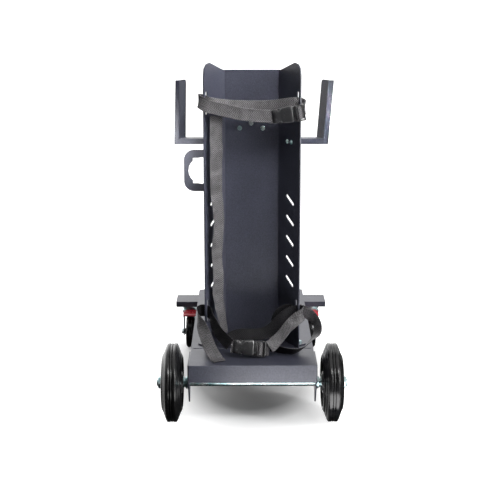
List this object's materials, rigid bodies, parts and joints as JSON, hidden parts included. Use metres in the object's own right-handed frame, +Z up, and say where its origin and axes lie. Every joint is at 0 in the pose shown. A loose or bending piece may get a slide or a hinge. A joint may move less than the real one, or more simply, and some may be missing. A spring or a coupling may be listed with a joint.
{
  "type": "oxy acetylene torch cart",
  "caption": "Folded-sheet gas bottle and torch cart with a strapped bottle bay, cable hooks, a torch holder, solid rear wheels and braked swivel casters.",
  "frame": {"origin": "on the floor, under the middle of the cart's overall box", "axes": "+Z up; +Y forwards, from the bottle bay towards the casters; +X to the right, seen from behind"},
  "size_m": [0.49, 0.755, 0.911],
  "materials": {
    "powder_coat": "fine-textured anthracite powder coat",
    "zinc_plate": "bright zinc plate with a faint blue passivation",
    "black_steel": "black painted pressed steel",
    "tyre_rubber": "solid black rubber, slightly glossy",
    "hub_plastic": "moulded grey hub",
    "red_paint": "red painted brake pedal",
    "webbing": "black polypropylene webbing, twill woven",
    "buckle_plastic": "black moulded acetal"
  },
  "bodies": {
    "frame": {"bottle_platform": "powder_coat", "chassis": "powder_coat", "front_crossbar": "powder_coat", "column": "powder_coat", "torch_holder": "powder_coat", "pull_handle": "powder_coat", "axle_rod": "zinc_plate", "handle_bolt_1": "zinc_plate", "handle_bolt_2": "zinc_plate", "handle_bolt_3": "zinc_plate", "cable_hook_left": "powder_coat", "hook_bolt_left_1": "zinc_plate", "hook_bolt_left_2": "zinc_plate", "foot_bolt_left": "zinc_plate", "axle_bracket_left": "powder_coat", "axle_collar_left": "zinc_plate", "axle_nut_left": "zinc_plate", "caster_plate_left": "zinc_plate", "caster_kingpin_left": "zinc_plate", "cable_hook_right": "powder_coat", "hook_bolt_right_1": "zinc_plate", "hook_bolt_right_2": "zinc_plate", "foot_bolt_right": "zinc_plate", "axle_bracket_right": "powder_coat", "axle_collar_right": "zinc_plate", "axle_nut_right": "zinc_plate", "caster_plate_right": "zinc_plate", "caster_kingpin_right": "zinc_plate", "upper_webbing": "webbing", "upper_webbing_tail": "webbing", "lower_webbing_left": "webbing", "lower_webbing_right": "webbing", "lower_webbing_loop": "webbing", "lower_webbing_arch": "webbing", "upper_buckle_socket": "buckle_plastic", "upper_buckle_ladder": "buckle_plastic", "lower_buckle_socket": "buckle_plastic", "lower_buckle_ladder": "buckle_plastic"},
    "rear_wheel_left": {"rear_tyre_left": "tyre_rubber", "rear_rim_left": "black_steel", "rear_hub_left": "hub_plastic"},
    "caster_left": {"caster_fork_left": "zinc_plate", "caster_axle_left": "zinc_plate"},
    "caster_wheel_left": {"caster_tyre_left": "tyre_rubber", "caster_hub_left": "hub_plastic"},
    "brake_left": {"brake_pedal_left": "red_paint"},
    "rear_wheel_right": {"rear_tyre_right": "tyre_rubber", "rear_rim_right": "black_steel", "rear_hub_right": "hub_plastic"},
    "caster_right": {"caster_fork_right": "zinc_plate", "caster_axle_right": "zinc_plate"},
    "caster_wheel_right": {"caster_tyre_right": "tyre_rubber", "caster_hub_right": "hub_plastic"},
    "brake_right": {"brake_pedal_right": "red_paint"}
  },
  "joints": [
    {"name": "rear_wheel_left_spin", "type": "hinge", "parent": "frame", "child": "rear_wheel_left", "pos_m": [-0.205, -0.2775, 0.1], "axis": [1, 0, 0], "continuous": true},
    {"name": "caster_left_swivel", "type": "hinge", "parent": "frame", "child": "caster_left", "pos_m": [-0.185, 0.337, 0.11], "axis": [0, 0, 1], "continuous": true},
    {"name": "caster_wheel_left_spin", "type": "hinge", "parent": "caster_left", "child": "caster_wheel_left", "pos_m": [-0.185, 0.302, 0.05], "axis": [1, 0, 0], "continuous": true},
    {"name": "brake_left_press", "type": "hinge", "parent": "caster_left", "child": "brake_left", "pos_m": [-0.185, 0.301, 0.114], "axis": [1, 0, 0], "range_deg": [0, 12]},
    {"name": "rear_wheel_right_spin", "type": "hinge", "parent": "frame", "child": "rear_wheel_right", "pos_m": [0.205, -0.2775, 0.1], "axis": [1, 0, 0], "continuous": true},
    {"name": "caster_right_swivel", "type": "hinge", "parent": "frame", "child": "caster_right", "pos_m": [0.185, 0.337, 0.11], "axis": [0, 0, 1], "continuous": true},
    {"name": "caster_wheel_right_spin", "type": "hinge", "parent": "caster_right", "child": "caster_wheel_right", "pos_m": [0.185, 0.302, 0.05], "axis": [1, 0, 0], "continuous": true},
    {"name": "brake_right_press", "type": "hinge", "parent": "caster_right", "child": "brake_right", "pos_m": [0.185, 0.301, 0.114], "axis": [1, 0, 0], "range_deg": [0, 12]}
  ]
}
